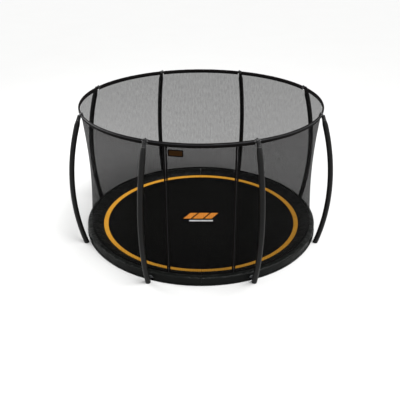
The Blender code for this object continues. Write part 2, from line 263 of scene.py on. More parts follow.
class Skin:
    """One procedural material and short calls for building its nodes."""

    def __init__(self, name, color, roughness, metallic=0.0, **settings):
        self.material = bpy.data.materials.new(name)
        self.material.use_nodes = True
        self.tree = self.material.node_tree
        self.shader = self.tree.nodes["Principled BSDF"]
        self.shader.inputs["Base Color"].default_value = (*color, 1.0)
        self.shader.inputs["Roughness"].default_value = roughness
        self.shader.inputs["Metallic"].default_value = metallic
        for socket, value in settings.items():
            self.shader.inputs[socket.replace("_", " ")].default_value = value

    def add(self, kind, inputs=(), **settings):
        made = self.tree.nodes.new(kind)
        for key, value in settings.items():
            setattr(made, key, value)
        for key, value in dict(inputs).items():
            if isinstance(value, bpy.types.NodeSocket):
                self.tree.links.new(value, made.inputs[key])
            else:
                made.inputs[key].default_value = value
        return made

    def place(self, uv=False, stretch=(1, 1, 1)):
        """Coordinates in metres, from the UV map or from the object, stretched."""
        if uv:
            source = self.add("ShaderNodeUVMap", uv_map="metres").outputs["UV"]
        else:
            source = self.add("ShaderNodeTexCoord").outputs["Object"]
        return self.add("ShaderNodeMapping", {"Vector": source, "Scale": stretch}).outputs["Vector"]

    def noise(self, place, scale, detail=3.0):
        made = self.add("ShaderNodeTexNoise", {"Vector": place, "Scale": scale, "Detail": detail})
        return made.outputs["Fac"]

    def cells(self, place, scale, output="Distance", **settings):
        return self.add("ShaderNodeTexVoronoi", {"Vector": place, "Scale": scale}, **settings).outputs[output]

    def bands(self, place, pitch, direction):
        """A smooth wave from 0 to 1 and back in each pitch."""
        inputs = {"Vector": place, "Scale": TURN / 20 / pitch}
        return self.add("ShaderNodeTexWave", inputs, bands_direction=direction).outputs["Fac"]

    def span(self, value, low, high, start=0.3, end=0.7):
        """Turns start to end into low to high, and holds it there."""
        inputs = {"Value": value, "From Min": start, "From Max": end, "To Min": low, "To Max": high}
        return self.add("ShaderNodeMapRange", inputs).outputs["Result"]

    def sum(self, operation, first, second):
        return self.add("ShaderNodeMath", {0: first, 1: second}, operation=operation).outputs["Value"]

    def between(self, factor, first, second):
        """The colour first where factor is 0 and second where it is 1."""
        made = self.add("ShaderNodeMix", {"Factor": factor}, data_type="RGBA")
        for socket, colour in ((6, first), (7, second)):
            if isinstance(colour, bpy.types.NodeSocket):
                self.tree.links.new(colour, made.inputs[socket])
            else:
                made.inputs[socket].default_value = (*colour, 1.0)
        return made.outputs[2]

    def drive(self, socket, source):
        self.tree.links.new(source, self.shader.inputs[socket])

    def mottle(self, place, scale, dark, light):
        """Colours the surface from dark to light in soft patches."""
        self.drive("Base Color", self.between(self.noise(place, scale), dark, light))

    def wear(self, place, scale, low, high, detail=3.0):
        """Roughens the surface from low to high in soft patches."""
        self.drive("Roughness", self.span(self.noise(place, scale, detail), low, high))

    def bump(self, height, distance, strength):
        """Raises the surface by up to distance, on top of any bump already there."""
        inputs = {"Height": height, "Distance": distance, "Strength": strength}
        below = self.shader.inputs["Normal"]
        if below.is_linked:
            inputs["Normal"] = below.links[0].from_socket
        self.drive("Normal", self.add("ShaderNodeBump", inputs).outputs["Normal"])


def galvanised_steel():
    # Dull galvanised grey with painted shade: the colour is kept darker than bare zinc so that the rails and
    # legs under the pad read as shaded.
    skin = Skin("galvanised steel", (0.24, 0.25, 0.26), 0.48, 0.8)
    place = skin.place()
    spangle = skin.cells(place, 90, "Color")
    grey = skin.add("ShaderNodeSeparateColor", {"Color": spangle}).outputs["Red"]
    tone = skin.span(grey, 0, 1, 0, 1)
    skin.drive("Base Color", skin.between(tone, (0.17, 0.175, 0.18), (0.29, 0.30, 0.31)))
    skin.wear(place, 30, 0.42, 0.60)
    skin.bump(skin.noise(place, 220), 0.0003, 0.5)
    return skin.material


def powder_coat():
    skin = Skin("black powder coat", (0.006, 0.006, 0.007), 0.45, Specular_IOR_Level=0.15)
    place = skin.place()
    skin.mottle(place, 14, (0.005, 0.005, 0.006), (0.009, 0.009, 0.010))
    skin.wear(place, 40, 0.36, 0.50)
    skin.bump(skin.noise(place, 700, 2), 0.0002, 0.6)
    return skin.material


def foam_cover():
    """The sleeves' coated fabric: a fine weave under soft creases."""
    skin = Skin("black foam cover", (0.002, 0.002, 0.002), 0.40, Specular_IOR_Level=0.17)
    place = skin.place()
    cloth = skin.place(uv=True)
    weave = skin.sum("ADD", skin.bands(cloth, 0.0022, "X"), skin.bands(cloth, 0.0022, "Y"))
    skin.mottle(place, 6, (0.0012, 0.0012, 0.0012), (0.0030, 0.0029, 0.0028))
    skin.wear(place, 25, 0.34, 0.48)
    skin.bump(weave, 0.0002, 0.35)
    skin.bump(skin.noise(skin.place(stretch=(1, 1, 0.35)), 55, 4), 0.0014, 0.5)
    return skin.material


def moulded_plastic(name, dark, light):
    skin = Skin(name, dark, 0.42, Specular_IOR_Level=0.20)
    place = skin.place()
    skin.mottle(place, 30, dark, light)
    skin.wear(place, 120, 0.36, 0.52)
    skin.bump(skin.cells(place, 900), 0.0002, 0.4)
    return skin.material


def spring_wire():
    skin = Skin("zinc spring wire", (0.55, 0.56, 0.58), 0.28, 1.0)
    place = skin.place()
    skin.mottle(place, 60, (0.42, 0.43, 0.45), (0.62, 0.63, 0.64))
    skin.wear(place, 200, 0.22, 0.40)
    return skin.material


def vinyl(name, dark, light, roughness):
    """Coated fabric: pebbled grain over a woven backing, a little dustier in places."""
    skin = Skin(name, dark, roughness, Specular_IOR_Level=0.09)
    place = skin.place()
    cloth = skin.place(uv=True)
    skin.drive("Base Color", skin.between(skin.span(skin.noise(place, 2.6, 5), 0, 1), dark, light))
    skin.wear(place, 11, roughness - 0.08, roughness + 0.10, detail=4)
    skin.bump(skin.cells(place, 520, feature="SMOOTH_F1"), 0.0004, 0.35)
    skin.bump(skin.sum("ADD", skin.bands(cloth, 0.0030, "X"), skin.bands(cloth, 0.0030, "Y")), 0.0002, 0.3)
    return skin.material


def netting():
    """Knitted netting: threads a few millimetres apart, denser in upright streaks."""
    skin = Skin("black netting", (0.002, 0.002, 0.002), 0.80, Specular_IOR_Level=0.02)
    cloth = skin.place(uv=True)
    columns = skin.bands(cloth, 0.0060, "Y")
    rows = skin.bands(cloth, 0.0075, "X")
    threads = skin.span(skin.sum("MAXIMUM", columns, rows), -0.10, 0.10, 0.5, 1.0)
    streaks = skin.span(skin.noise(skin.place(uv=True, stretch=(0.30, 1, 1)), 42, 3), 0.665, 0.745)
    ribs = skin.span(skin.bands(cloth, 0.026, "Y"), -0.03, 0.03, 0, 1)
    skin.drive("Alpha", skin.sum("ADD", skin.sum("ADD", streaks, ribs), threads))
    skin.mottle(cloth, 3, (0.0015, 0.0015, 0.0015), (0.003, 0.003, 0.003))
    return skin.material


def webbing(name="black webbing", dark=(0.0018, 0.0015, 0.0015), light=(0.0036, 0.0030, 0.0030)):
    """Woven tape: ribs across it and a finer weave along it."""
    skin = Skin(name, dark, 0.72, Specular_IOR_Level=0.04)
    cloth = skin.place(uv=True)
    weave = skin.sum("MULTIPLY", skin.bands(cloth, 0.0036, "X"), skin.bands(cloth, 0.0020, "Y"))
    skin.drive("Base Color", skin.between(weave, dark, light))
    skin.wear(cloth, 40, 0.62, 0.80)
    skin.bump(weave, 0.0006, 0.6)
    return skin.material


def mat_fabric():
    """Woven mat cloth with a plain printed mark: an orange bar in three slanted pieces and a pale rule."""
    skin = Skin("black mat fabric", (0.002, 0.002, 0.0018), 0.68, Specular_IOR_Level=0.03)
    cloth = skin.place(uv=True)
    weave = skin.sum("MULTIPLY", skin.bands(cloth, 0.0040, "X"), skin.bands(cloth, 0.0040, "Y"))
    worn = skin.span(skin.noise(cloth, 1.3, 4), 0, 1)
    black = skin.between(worn, (0.0013, 0.0013, 0.0011), (0.0024, 0.0024, 0.0020))
    woven = skin.between(weave, black, (0.0036, 0.0035, 0.0030))
    skin.wear(cloth, 9, 0.55, 0.74, detail=4)
    skin.bump(weave, 0.0005, 0.5)
    split = skin.add("ShaderNodeSeparateXYZ", {"Vector": cloth})
    x, y = split.outputs["X"], split.outputs["Y"]

    def inside(value, centre, half):
        """1 within half of centre and 0 further away, with an edge of 4 mm."""
        apart = skin.sum("ABSOLUTE", skin.sum("SUBTRACT", value, centre), 0)
        return skin.span(apart, 1, 0, half - 0.002, half + 0.002)

    slanted = skin.sum("SUBTRACT", x, skin.sum("MULTIPLY", y, 0.6))
    bar = None
    for offset, half in MARK_BARS:
        piece = inside(slanted, offset - 0.6 * MARK_Y, half)
        bar = piece if bar is None else skin.sum("MAXIMUM", bar, piece)
    mark = skin.sum("MULTIPLY", bar, inside(y, MARK_Y, MARK_HALF_HEIGHT))
    rule = skin.sum("MULTIPLY", inside(x, 0.0, RULE_HALF_WIDTH), inside(y, RULE_Y, RULE_HALF_HEIGHT))
    printed = skin.between(mark, woven, (0.85, 0.30, 0.045))
    skin.drive("Base Color", skin.between(rule, printed, (0.75, 0.75, 0.74)))
    return skin.material


def zip_metal():
    skin = Skin("black lacquered metal", (0.030, 0.030, 0.031), 0.35, 0.9)
    place = skin.place()
    skin.mottle(place, 90, (0.022, 0.022, 0.023), (0.040, 0.040, 0.041))
    skin.wear(place, 300, 0.25, 0.45)
    return skin.material


def floor_paint():
    skin = Skin("pale floor", (0.375, 0.375, 0.375), 0.90, Specular_IOR_Level=0.1)
    place = skin.place()
    skin.mottle(place, 0.8, (0.370, 0.370, 0.368), (0.380, 0.380, 0.378))
    return skin.material


GALVANISED_WITH_PAINTED_SHADE = galvanised_steel()
BLACK_STEEL = powder_coat()
FOAM_COVER = foam_cover()
CAP_PLASTIC = moulded_plastic("black moulded plastic", (0.0035, 0.0035, 0.0038), (0.0065, 0.0065, 0.0068))
GREY_PLASTIC = moulded_plastic("grey moulded plastic", (0.050, 0.050, 0.050), (0.075, 0.075, 0.075))
SPRING_WIRE = spring_wire()
PAD_VINYL = vinyl("dark vinyl", (0.0010, 0.0013, 0.0011), (0.0022, 0.0027, 0.0022), 0.46)
ORANGE_VINYL = vinyl("orange vinyl", (0.93, 0.425, 0.036), (0.95, 0.460, 0.048), 0.52)
NETTING = netting()
WEBBING = webbing()
ORANGE_WEBBING = webbing("dark orange webbing", (0.020, 0.0080, 0.0014), (0.034, 0.0130, 0.0024))
MAT_FABRIC = mat_fabric()
ZIP_METAL = zip_metal()


# Camera, light and floor


def add_camera():
    camera = bpy.data.cameras.new("camera")
    camera.lens = 48.0
    camera.sensor_width = 36.0
    eye = bpy.data.objects.new("camera", camera)
    eye.location = (-0.016, -7.724, LAWN_Z + 4.410)
    eye.rotation_euler = (math.radians(90 - 27.72), 0, 0)
    bpy.context.scene.collection.objects.link(eye)
    bpy.context.scene.camera = eye


def add_light(name, location, target, size, power):
    lamp = bpy.data.lights.new(name, "AREA")
    lamp.shape = "DISK"
    lamp.size = size
    lamp.energy = power
    holder = bpy.data.objects.new(name, lamp)
    holder.location = location
    holder.rotation_euler = (Vector(target) - Vector(location)).to_track_quat("-Z", "Y").to_euler()
    bpy.context.scene.collection.objects.link(holder)


def add_sun(strength, azimuth, height, softness):
    """The studio's main light, so large and far off that it falls evenly on the floor."""
    lamp = bpy.data.lights.new("key light", "SUN")
    lamp.energy = strength
    lamp.angle = math.radians(softness)
    holder = bpy.data.objects.new("key light", lamp)
    toward = polar(math.cos(math.radians(height)), math.radians(azimuth), math.sin(math.radians(height)))
    holder.rotation_euler = toward.to_track_quat("Z", "Y").to_euler()
    bpy.context.scene.collection.objects.link(holder)


def add_lights():
    add_sun(strength=4.9, azimuth=50, height=66, softness=28)
    add_light("left light", (-6.0, 1.5, 4.5), target=(1.5, 0, 0.3), size=3.5, power=420)
    add_light("right light", (5.0, -1.0, 7.0), target=(-1.5, 0, 0.3), size=3.0, power=360)
    world = bpy.data.worlds.new("studio")
    world.use_nodes = True
    background = world.node_tree.nodes["Background"]
    background.inputs["Color"].default_value = (1.0, 1.0, 1.0, 1.0)
    background.inputs["Strength"].default_value = 1.10
    bpy.context.scene.world = world
    bpy.context.scene.view_settings.view_transform = "Standard"


def add_floor():
    """The lawn's level as a pale floor, with a round pit that goes down to the frame's feet."""
    pit_r = PAD_OUTER_R + 0.010
    rings = [(radius, LAWN_Z) for radius in (60.0, 20.0, 6.0, 2.5, pit_r)]
    rings += [(pit_r, 0.0), (0.5, 0.0)]
    azimuths = spread(0, TURN, 128)[:-1]
    shape = Shape()
    shape.grid([[polar(radius, a, z - 0.0005) for a in azimuths] for radius, z in rings], around=True)
    shape.turned(Vector((0, 0, -0.0010)), UP, [(0, 0.5), (0.0004, 0.5)], sides=128)
    shape.object("floor", floor_paint())


# Frame and poles


def pole_arc(share):
    """Radius, height and upward direction on the pole's arc: share 0 at the lawn, 1 beside the hoop."""
    foot = Vector((POLE_FOOT_R, LAWN_Z))
    top = Vector((POLE_TOP_R, HOOP_Z))
    half_chord = (top - foot).length / 2
    bend_radius = (half_chord**2 + POLE_BOW**2) / (2 * POLE_BOW)
    outwards = Vector((top.y - foot.y, foot.x - top.x)).normalized()
    centre = (foot + top) / 2 - (bend_radius - POLE_BOW) * outwards
    turn = (2 * share - 1) * math.asin(half_chord / bend_radius)
    middle = math.atan2(outwards.y, outwards.x)
    ray = Vector((math.cos(middle + turn), math.sin(middle + turn)))
    return centre + bend_radius * ray, Vector((-ray.y, ray.x))


def pole_point(azimuth, share, beyond=0.0):
    """A point on the pole, moved on by beyond along its direction there."""
    point, upwards = pole_arc(share)
    moved = point + beyond * upwards
    return polar(moved.x, azimuth, moved.y)


def pole_direction(azimuth, share):
    upwards = pole_arc(share)[1]
    return polar(upwards.x, azimuth, upwards.y)


def tangent_at(azimuth):
    return Vector((math.cos(azimuth), math.sin(azimuth), 0))


def make_pole(number, azimuth):
    path = [pole_point(azimuth, 0, -POLE_TAIL), pole_point(azimuth, 0, -POLE_TAIL / 2)]
    path += [pole_point(azimuth, share) for share in spread(0, POLE_END, 40)]
    shape = Shape()
    shape.tube(path, tangent_at(azimuth), POLE_TUBE_R, sides=24)
    fit(shape.object(f"pole_tube_{number}", BLACK_STEEL), "frame", "black_steel", f"pole_{number}")


def make_foam_sleeve(number, azimuth):
    """The foam's fabric sleeve: a stitched seam down its outer side and a drawn-in top."""

    def outer_radius(share, angle):
        seam_angle = math.pi / 2
        apart = abs((angle - seam_angle + math.pi) % TURN - math.pi)
        seam = 0.0012 * math.exp(-((apart / 0.10) ** 2)) - 0.0009 * math.exp(-(((apart - 0.30) / 0.12) ** 2))
        one_sided = 0.5 + 0.5 * math.cos(angle)
        creases = 0.0007 * ripple(number * 7.3, 26 * share, 1.2 * math.cos(angle)) * one_sided
        drawn_in = 0.0085 * ease((share - FOAM_END + 0.030) / 0.030)
        return FOAM_R - 0.0008 - drawn_in + seam + creases

    shares = spread(0, FOAM_END, 90)
    side = tangent_at(azimuth)
    shape = Shape()
    rows = []
    for share in shares:
        rows.append(sleeve_ring(azimuth, side, share, lambda angle, s=share: outer_radius(s, angle)))
    lip = 0.0025
    low = [sleeve_ring(azimuth, side, 0, lambda angle: FOAM_BORE_R)]
    low.append(sleeve_ring(azimuth, side, 0, lambda angle: FOAM_R - 3 * lip))
    high = [sleeve_ring(azimuth, side, FOAM_END + 0.0010, lambda angle: FOAM_R - 5 * lip)]
    high.append(sleeve_ring(azimuth, side, FOAM_END, lambda angle: FOAM_BORE_R))
    bore = [sleeve_ring(azimuth, side, share, lambda angle: FOAM_BORE_R) for share in reversed(shares[1:-1])]
    shape.grid([*low, *rows, *high, *bore], around=True, along=True)
    sleeve = fit(
        shape.object(f"foam_cover_{number}", FOAM_COVER), "frame", "foam_cover", f"foam_sleeve_{number}"
    )


def sleeve_ring(azimuth, side, share, radius_at):
    sides = 24
    centre = pole_point(azimuth, share)
    across = side.cross(pole_direction(azimuth, share)).normalized()
    ring = []
    for step in range(sides):
        angle = TURN * step / sides
        ring.append(centre + radius_at(angle) * (math.cos(angle) * side + math.sin(angle) * across))
    return ring


def make_pole_cap(number, azimuth):
    """The moulded cap: a ribbed collar over the pole, a barrel round the hoop and a rounded nub."""
    hoop = polar(HOOP_R, azimuth, HOOP_Z)
    upwards = pole_direction(azimuth, 1)
    side = tangent_at(azimuth)
    collar_low = pole_point(azimuth, 1, -COLLAR_LENGTH)
    shape = Shape()
    collar = [(0.0, 0.0195), (0.0, 0.0262), (0.002, 0.0285), (0.012, 0.0285), (0.014, 0.0268)]
    collar += [(0.048, 0.0264), (0.064, 0.0264), (COLLAR_LENGTH, 0.0235)]
    shape.turned(collar_low, upwards, collar, sides=28)
    barrel = [(0.028, 0.0150), (0.028, 0.0240), (0.0255, 0.0266), (0.013, 0.0270)]
    barrel = [(-distance, radius) for distance, radius in barrel] + barrel[::-1]
    shape.turned(hoop, side, barrel, sides=32)
    nub = [(0.018, 0.0150), (0.023, 0.0128), (0.027, 0.0120)]
    nub += [(0.034, 0.0117), (0.037, 0.0095), (0.038, 0.0040)]
    shape.turned(hoop, upwards, nub, sides=20)
    for turn in spread(0, TURN, 8)[:-1]:
        out = math.cos(turn) * side + math.sin(turn) * side.cross(upwards)
        rib = collar_low + 0.031 * upwards + 0.0266 * out
        shape.tube([rib - 0.015 * upwards, rib + 0.015 * upwards], side, 0.0013, sides=6)
    ring = [(-0.005, 0.0195), (-0.005, 0.0268), (-0.004, 0.0276)]
    ring += [(-0.0012, 0.0276), (-0.0003, 0.0268), (-0.0003, 0.0195)]
    shape.turned(collar_low, upwards, ring, sides=28, finish=1)
    cap = shape.object(f"hoop_cap_{number}", CAP_PLASTIC, GREY_PLASTIC)
    fit(cap, "frame", "cap_plastic", f"pole_cap_{number}")


def make_hoop():
    path = [polar(HOOP_R, azimuth, HOOP_Z) for azimuth in spread(0, TURN, 192)[:-1]]
    shape = Shape()
    shape.tube(path, UP, HOOP_TUBE_R, sides=14, along=True)
    for number in range(POLE_COUNT):
        middle = FIRST_POLE + number * POLE_STEP
        reach = FERRULE_HALF / HOOP_R
        ferrule = [polar(HOOP_R, azimuth, HOOP_Z) for azimuth in spread(middle - reach, middle + reach, 8)]
        shape.tube(ferrule, UP, HOOP_TUBE_R + 0.0012, sides=16, finish=1)
    fit(shape.object("hoop_tube", BLACK_STEEL, GREY_PLASTIC), "frame", "black_steel", "top_hoop")


def make_leg(side_name, azimuth):
    """A U of tube: two uprights over the stubs of neighbouring rails, and a foot bar between."""
    half_width = RAIL_R * math.sin(FIRST_POLE)
    distance = RAIL_R * math.cos(FIRST_POLE)
    foot_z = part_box(f"leg_{side_name}")[0].z + RAIL_TUBE_R * math.cos(math.pi / TUBE_SIDES)
    top_z = RAIL_Z - RAIL_TUBE_R - 0.002
    half = [Vector((half_width, 0, top_z)), Vector((half_width, 0, top_z - 0.05))]
    for turn in spread(0, math.pi / 2, 12):
        x = half_width - LEG_BEND_R * (1 - math.cos(turn))
        half.append(Vector((x, 0, foot_z + LEG_BEND_R * (1 - math.sin(turn)))))
    whole = half + [Vector((-point.x, 0, point.z)) for point in reversed(half)]
    out = polar(1, azimuth)
    along = tangent_at(azimuth)
    path = [point.x * along + distance * out + point.z * UP for point in whole]
    shape = Shape()
    shape.tube(path, -out, RAIL_TUBE_R * 0.99, sides=24)
    fit(shape.object(f"leg_tube_{side_name}", GALVANISED_WITH_PAINTED_SHADE), "frame", "galvanised_steel", f"leg_{side_name}")


# Mat and springs


def bend_with_mat(piece, slot, *nodes):
    """Bakes a piece's placement into its mesh and hides the CAD nodes that it stands for."""
    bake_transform(piece)
    if nodes:
        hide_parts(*nodes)
    return piece


def make_mat():
    """The mat's cloth, with the webbing sewn under its edge."""
    azimuths = spread(0, TURN, 160)[:-1]
    thin, thick = 0.0026, 0.0060
    band_r = MAT_R - 0.055
    radii = [0.004, *spread(0.06, 1.44, 23), 1.50]
    radii += [band_r - 0.006, band_r, MAT_R - 0.030, MAT_R - 0.003, MAT_R]
    shape = Shape()

    def rounding(radius):
        """How far each face of the cloth turns in, which it does only at its very edge."""
        return 0.0012 if radius == MAT_R else 0.0

    top = [[polar(radius, a, MAT_TOP_Z - 0.0002 - rounding(radius)) for a in azimuths] for radius in radii]
    under = []
    for radius in reversed(radii):
        depth = thin + (thick - thin) * ease((radius - band_r + 0.004) / 0.004)
        under.append([polar(radius, a, MAT_TOP_Z - depth + rounding(radius)) for a in azimuths])
    shape.grid(top + under, around=True, caps=True, flat=True)
    mat = shape.object("mat_cloth", MAT_FABRIC)
    bend_with_mat(mat, "mat_fabric", "jumping_mat")


def make_springs():
    """Coil springs with a hook at each end, and the V-rings sewn to the mat's edge."""
    z = MAT_TOP_Z - 0.0060
    coil_start, coil_end = 1.640, 1.738
    coil_r, wire_r, turns, steps = 0.0068, 0.0013, 24, 10
    inner_hook = ((1.606, 0.003), (1.612, -0.002), (1.622, 0.0))  # each as (radius, height over z)
    outer_hook = ((1.750, 0.0), (1.764, 0.0), (1.772, 0.006))
    ring_base, ring_tip, ring_half = 1.586, 1.611, 0.016
    springs = Shape()
    rings = Shape()
    for number in range(SPRING_COUNT):
        azimuth = (number + 0.5) * TURN / SPRING_COUNT
        out = polar(1, azimuth)
        side = tangent_at(azimuth)
        path = [out * radius + UP * (z + lift) for radius, lift in inner_hook]
        for step in range(turns * steps + 1):
            turn = TURN * step / steps
            radius = coil_start + (coil_end - coil_start) * step / (turns * steps)
            path.append(out * radius + coil_r * (math.cos(turn) * side + math.sin(turn) * UP) + UP * z)
        path += [out * radius + UP * (z + lift) for radius, lift in outer_hook]
        springs.wire(path, wire_r)
        corners = [out * ring_base - ring_half * side, out * ring_base + ring_half * side, out * ring_tip]
        triangle = [point + UP * (z + 0.001) for point in corners]
        rings.wire(triangle, 0.0019, closed=True)
    bend_with_mat(springs.object("spring_coils", SPRING_WIRE), "spring_wire", "spring_set")
    bend_with_mat(rings.object("mat_rings", SPRING_WIRE), "spring_wire")


# Pad


CROWN_SHARES = spread(0, 1, 22)  # rows across the crown, from the border's welt to over the skirt


def pad_azimuths(start, end):
    """Columns along a quarter of the pad, closer together round the arches for the poles."""
    half_arch = ARCH_WIDTH / 2 / PAD_OUTER_R
    arches = [start + FIRST_POLE, start + FIRST_POLE + POLE_STEP]
    fine = [arch + half_arch * math.cos(turn) for arch in arches for turn in spread(0, math.pi, 20)]
    fine += [arch + side * (half_arch + 0.0005) for arch in arches for side in (-1, 1)]
    plain = [a for a in spread(start, end, 150) if all(abs(a - arch) > half_arch + 0.002 for arch in arches)]
    return sorted(plain + fine)


def skirt_bottom(azimuth):
    """The skirt's lower edge, which arches up over each pole's bracket."""
    from_pole = (azimuth - FIRST_POLE + POLE_STEP / 2) % POLE_STEP - POLE_STEP / 2
    half = ARCH_WIDTH / 2
    aside = abs(from_pole) * PAD_OUTER_R
    if aside >= half:
        return SKIRT_BOTTOM_Z
    return ARCH_TOP_Z - half + math.sqrt(half**2 - aside**2)


def crown_height(share):
    """Rises over the springs to full height above the rail, and stays high at the outer edge."""
    return ease(share / 0.62) ** 0.85 * (1 - 0.20 * ease((share - 0.80) / 0.20) ** 2)


def crown_point(azimuth, share):
    """Radius and height on the pad's crown: share 0 at the border's welt and 1 over the skirt."""
    turn = math.pi * share
    radius = BORDER_R + 0.002 + (PAD_OUTER_R - 0.006 - BORDER_R) * (1 - math.cos(turn)) / 2
    lift = crown_height(share) * (PAD_TOP_Z - PAD_BASE_Z - 0.012) - 0.0030 * math.sin(turn) ** 0.5
    soft = 0.0030 * ripple(azimuth * 9, share * 2.2, 5.0) * math.sin(turn)
    return radius, PAD_BASE_Z + 0.012 + max(lift, 0) + soft


def simulate_crown(start):
    """What a cloth simulation adds to the height of a pad's crown, by column and row.

    The vinyl is cut CROWN_SPARE too large and sewn down on all four sides, so that it creases as the
    foam pushes it up. Only the creases are kept: the crown's own height stays as designed.
    """
    columns = spread(start, start + QUARTER, CROWN_COLUMNS)
    shape = Shape()
    shape.grid([[polar(r, a, z) for r, z in (crown_point(a, s) for s in CROWN_SHARES)] for a in columns])
    cloth = shape.object("crown_cloth", PAD_VINYL)
    size = len(CROWN_SHARES)
    edge = [
        column * size + row
        for column in range(CROWN_COLUMNS + 1)
        for row in range(size)
        if column in (0, CROWN_COLUMNS) or row in (0, size - 1)
    ]
    cloth.vertex_groups.new(name="sewn").add(edge, 1.0, "REPLACE")
    modifier = cloth.modifiers.new("cloth", "CLOTH")
    settings = modifier.settings
    settings.vertex_group_mass = "sewn"
    settings.quality = 6
    settings.mass = 0.35
    settings.tension_stiffness = settings.compression_stiffness = 20
    settings.shear_stiffness = 8
    settings.bending_stiffness = 0.4
    settings.shrink_min = -CROWN_SPARE
    settings.effector_weights.gravity = -0.15
    modifier.collision_settings.use_collision = False
    modifier.point_cache.frame_end = CROWN_FRAMES
    for frame_number in range(1, CROWN_FRAMES + 1):
        bpy.context.scene.frame_set(frame_number)
    graph = bpy.context.evaluated_depsgraph_get()
    settled = [vertex.co.z for vertex in cloth.evaluated_get(graph).data.vertices]
    before = [vertex.co.z for vertex in cloth.data.vertices]
    bpy.data.objects.remove(cloth)
    bpy.context.scene.frame_set(1)
    lifts = [after - was for after, was in zip(settled, before)]
    rows = [lifts[row::size] for row in range(size)]
    means = [sum(row) / len(row) for row in rows]
    return [
        [min(max(rows[row][column] - means[row], -CREASE_LIMIT), CREASE_LIMIT) for row in range(size)]
        for column in range(CROWN_COLUMNS + 1)
    ]


def crease_height(creases, azimuth, start, row):
    """The simulated height here, between its two nearest columns."""
    along = (azimuth - start) / QUARTER * CROWN_COLUMNS
    column = min(max(int(along), 0), CROWN_COLUMNS - 1)
    first, second = creases[column][row], creases[column + 1][row]
    return first + (second - first) * (along - column)


def pad_section(azimuth, quarter_start, creases):
    """The pad's section here as (radius, height) points: its flat border and its crown."""
    from_seam = min(azimuth - quarter_start, quarter_start + QUARTER - azimuth) * RAIL_R
    sink = 0.010 * math.exp(-from_seam / 0.030)
    pucker = 0.0022 * math.exp(-from_seam / 0.22) * math.sin(azimuth * 190)
    base = PAD_BASE_Z
    flutter = 0.0008 * ripple(azimuth * 14, 3.1, 0)
    border = [(PAD_INNER_R, base), (PAD_INNER_R - 0.0006, base + 0.004), (PAD_INNER_R + 0.003, base + 0.0078)]
    border += [(PAD_INNER_R + 0.030, base + 0.0095 + flutter), (BORDER_R - 0.010, base + 0.0125 + flutter)]
    border += [(BORDER_R - 0.002, base + 0.0115)]
    crown = []
    for row, share in enumerate(CROWN_SHARES):
        radius, height = crown_point(azimuth, share)
        arch = math.sin(math.pi * share)
        height += pucker * arch - sink * arch**0.5
        height += crease_height(creases, azimuth, quarter_start, row) if creases else 0
        crown.append((radius, max(height, base + 0.012)))
    return border, crown


def make_pad(quarter, name):
    start = quarter * QUARTER
    creases = simulate_crown(start)
    seam = PAD_SEAM_HALF_GAP / PAD_INNER_R
    azimuths = pad_azimuths(start + seam, start + QUARTER - seam)
    under_z = RAIL_Z + RAIL_TUBE_R + 0.004
    inner_skirt_r = PAD_OUTER_R - 0.003
    borders, crowns, skirts, unders, edges = [], [], [], [], []
    for azimuth in azimuths:
        border, crown = pad_section(azimuth, start, creases)
        bottom = skirt_bottom(azimuth)
        wave = 0.0022 * ripple(azimuth * 16, 8.0, 0) + 0.0010 * ripple(azimuth * 47, 2.0, 0)
        top_z = crown[-1][1]
        skirt = []
        for share in spread(0, 1, 8):
            swing = wave * ease(share * 1.4)
            radius = min(PAD_OUTER_R - 0.0035 + swing, PAD_OUTER_R + 0.004)
            skirt.append((radius, top_z - 0.006 + (bottom - top_z + 0.006) * share))
        inner = [(skirt[-1][0] - 0.003, bottom), (inner_skirt_r - 0.003, max(under_z - 0.02, bottom))]
        inner += [(inner_skirt_r - 0.002, under_z + 0.004)]
        under = [(RAIL_R, under_z), (RAIL_R - 0.040, under_z), (BORDER_R + 0.020, MAT_TOP_Z + 0.005)]
        borders.append([polar(r, azimuth, z) for r, z in border])
        crowns.append([polar(r, azimuth, z) for r, z in crown])
        skirts.append([polar(r, azimuth, z) for r, z in skirt])
        unders.append([polar(r, azimuth, z) for r, z in inner + under])
        edges.append(polar(skirt[-1][0] - 0.0015, azimuth, bottom + 0.001))
    shape = Shape()
    closing = [[b[-1], *c, *s] for b, c, s in zip(borders, crowns, skirts)]
    shape.grid(borders, finish=1)
    shape.grid(closing)
    shape.grid([[s[-1], *u, b[0]] for s, u, b in zip(skirts, unders, borders)])
    for column in (0, -1):
        outline = borders[column] + crowns[column] + skirts[column] + unders[column]
        shape.bm.faces.new([shape.bm.verts.new(point) for point in outline])
    bmesh.ops.remove_doubles(shape.bm, verts=shape.bm.verts, dist=0.00005)
    welt = [polar(BORDER_R, a, MAT_TOP_Z + 0.0145) for a in azimuths]
    shape.wire(welt, 0.0032, sides=8)
    top_welt = [crown[-1] + polar(0.0005, a, -0.003) for crown, a in zip(crowns, azimuths)]
    shape.wire(top_welt, 0.0036, sides=8)
    shape.wire(edges, 0.0030, sides=8)
    pad = shape.object(f"pad_cover_{name}", PAD_VINYL, ORANGE_VINYL)
    fit(pad, "frame", "pad_vinyl", f"pad_{name}")


# Net


def net_radius(azimuth, share):
    """The net hangs straight at the door's zips and is drawn in between hoop and pad elsewhere."""
    from_front = min(azimuth % TURN, -azimuth % TURN)
    drawn_in = ease((from_front - ZIP_AZIMUTH) / (POLE_STEP - ZIP_AZIMUTH))
    return NET_R - NET_SAG * drawn_in * math.sin(math.pi * share)


def net_point(azimuth, share, out=0.0):
    z = NET_BOTTOM_Z + share * (NET_TOP_Z - NET_BOTTOM_Z)
    return polar(net_radius(azimuth, share) + out, azimuth, z)


